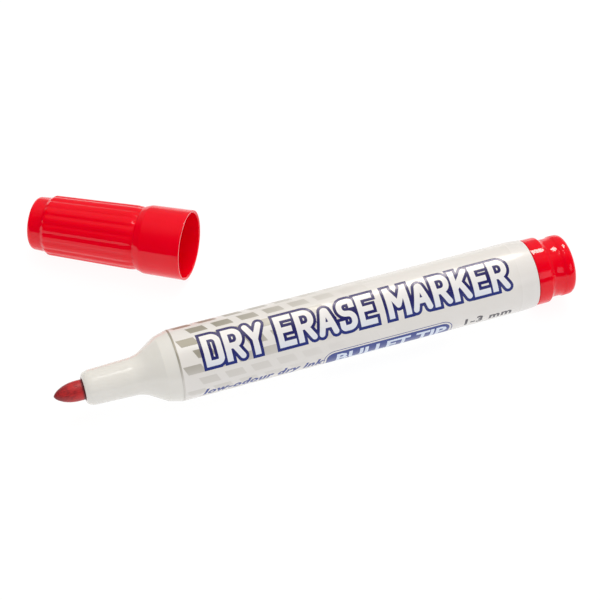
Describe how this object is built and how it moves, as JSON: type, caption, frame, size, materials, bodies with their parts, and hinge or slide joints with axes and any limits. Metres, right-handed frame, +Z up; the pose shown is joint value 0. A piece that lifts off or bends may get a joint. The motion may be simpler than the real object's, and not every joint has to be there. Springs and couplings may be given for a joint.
{
  "type": "whiteboard marker",
  "caption": "Bullet-tip whiteboard marker lying uncapped: round printed barrel, stepped front section, red end plug, and its ribbed red cap lying loose beside the nib.",
  "frame": {"origin": "centre of the set's bounding box, on the surface that marker and cap lie on", "axes": "+X along the marker's axis from nib to end plug, +Y from the marker towards the loose cap, +Z up"},
  "size_m": [0.1236, 0.0708, 0.0172],
  "materials": {
    "printed_barrel": "semi-gloss white with navy and silver print",
    "white_moulding": "semi-gloss moulded",
    "inked_felt": "matt ink-soaked felt",
    "inked_fibre": "matt ink-soaked fibre",
    "clear_film": "smooth film",
    "red_moulding": "gloss moulded",
    "natural_moulding": "natural, unpigmented"
  },
  "bodies": {
    "marker": {"barrel": "printed_barrel", "front_section": "white_moulding", "nib": "inked_felt", "reservoir_core": "inked_fibre", "reservoir_film": "clear_film", "end_plug": "red_moulding"},
    "cap": {"cap_shell": "red_moulding", "cap_liner": "natural_moulding"}
  },
  "joints": [
    {"name": "cap_swing", "type": "hinge", "parent": "marker", "child": "cap", "pos_m": [0.01222, -0.09394, 0], "axis": [0, 0, 1], "range_deg": [0, 34.1]}
  ]
}
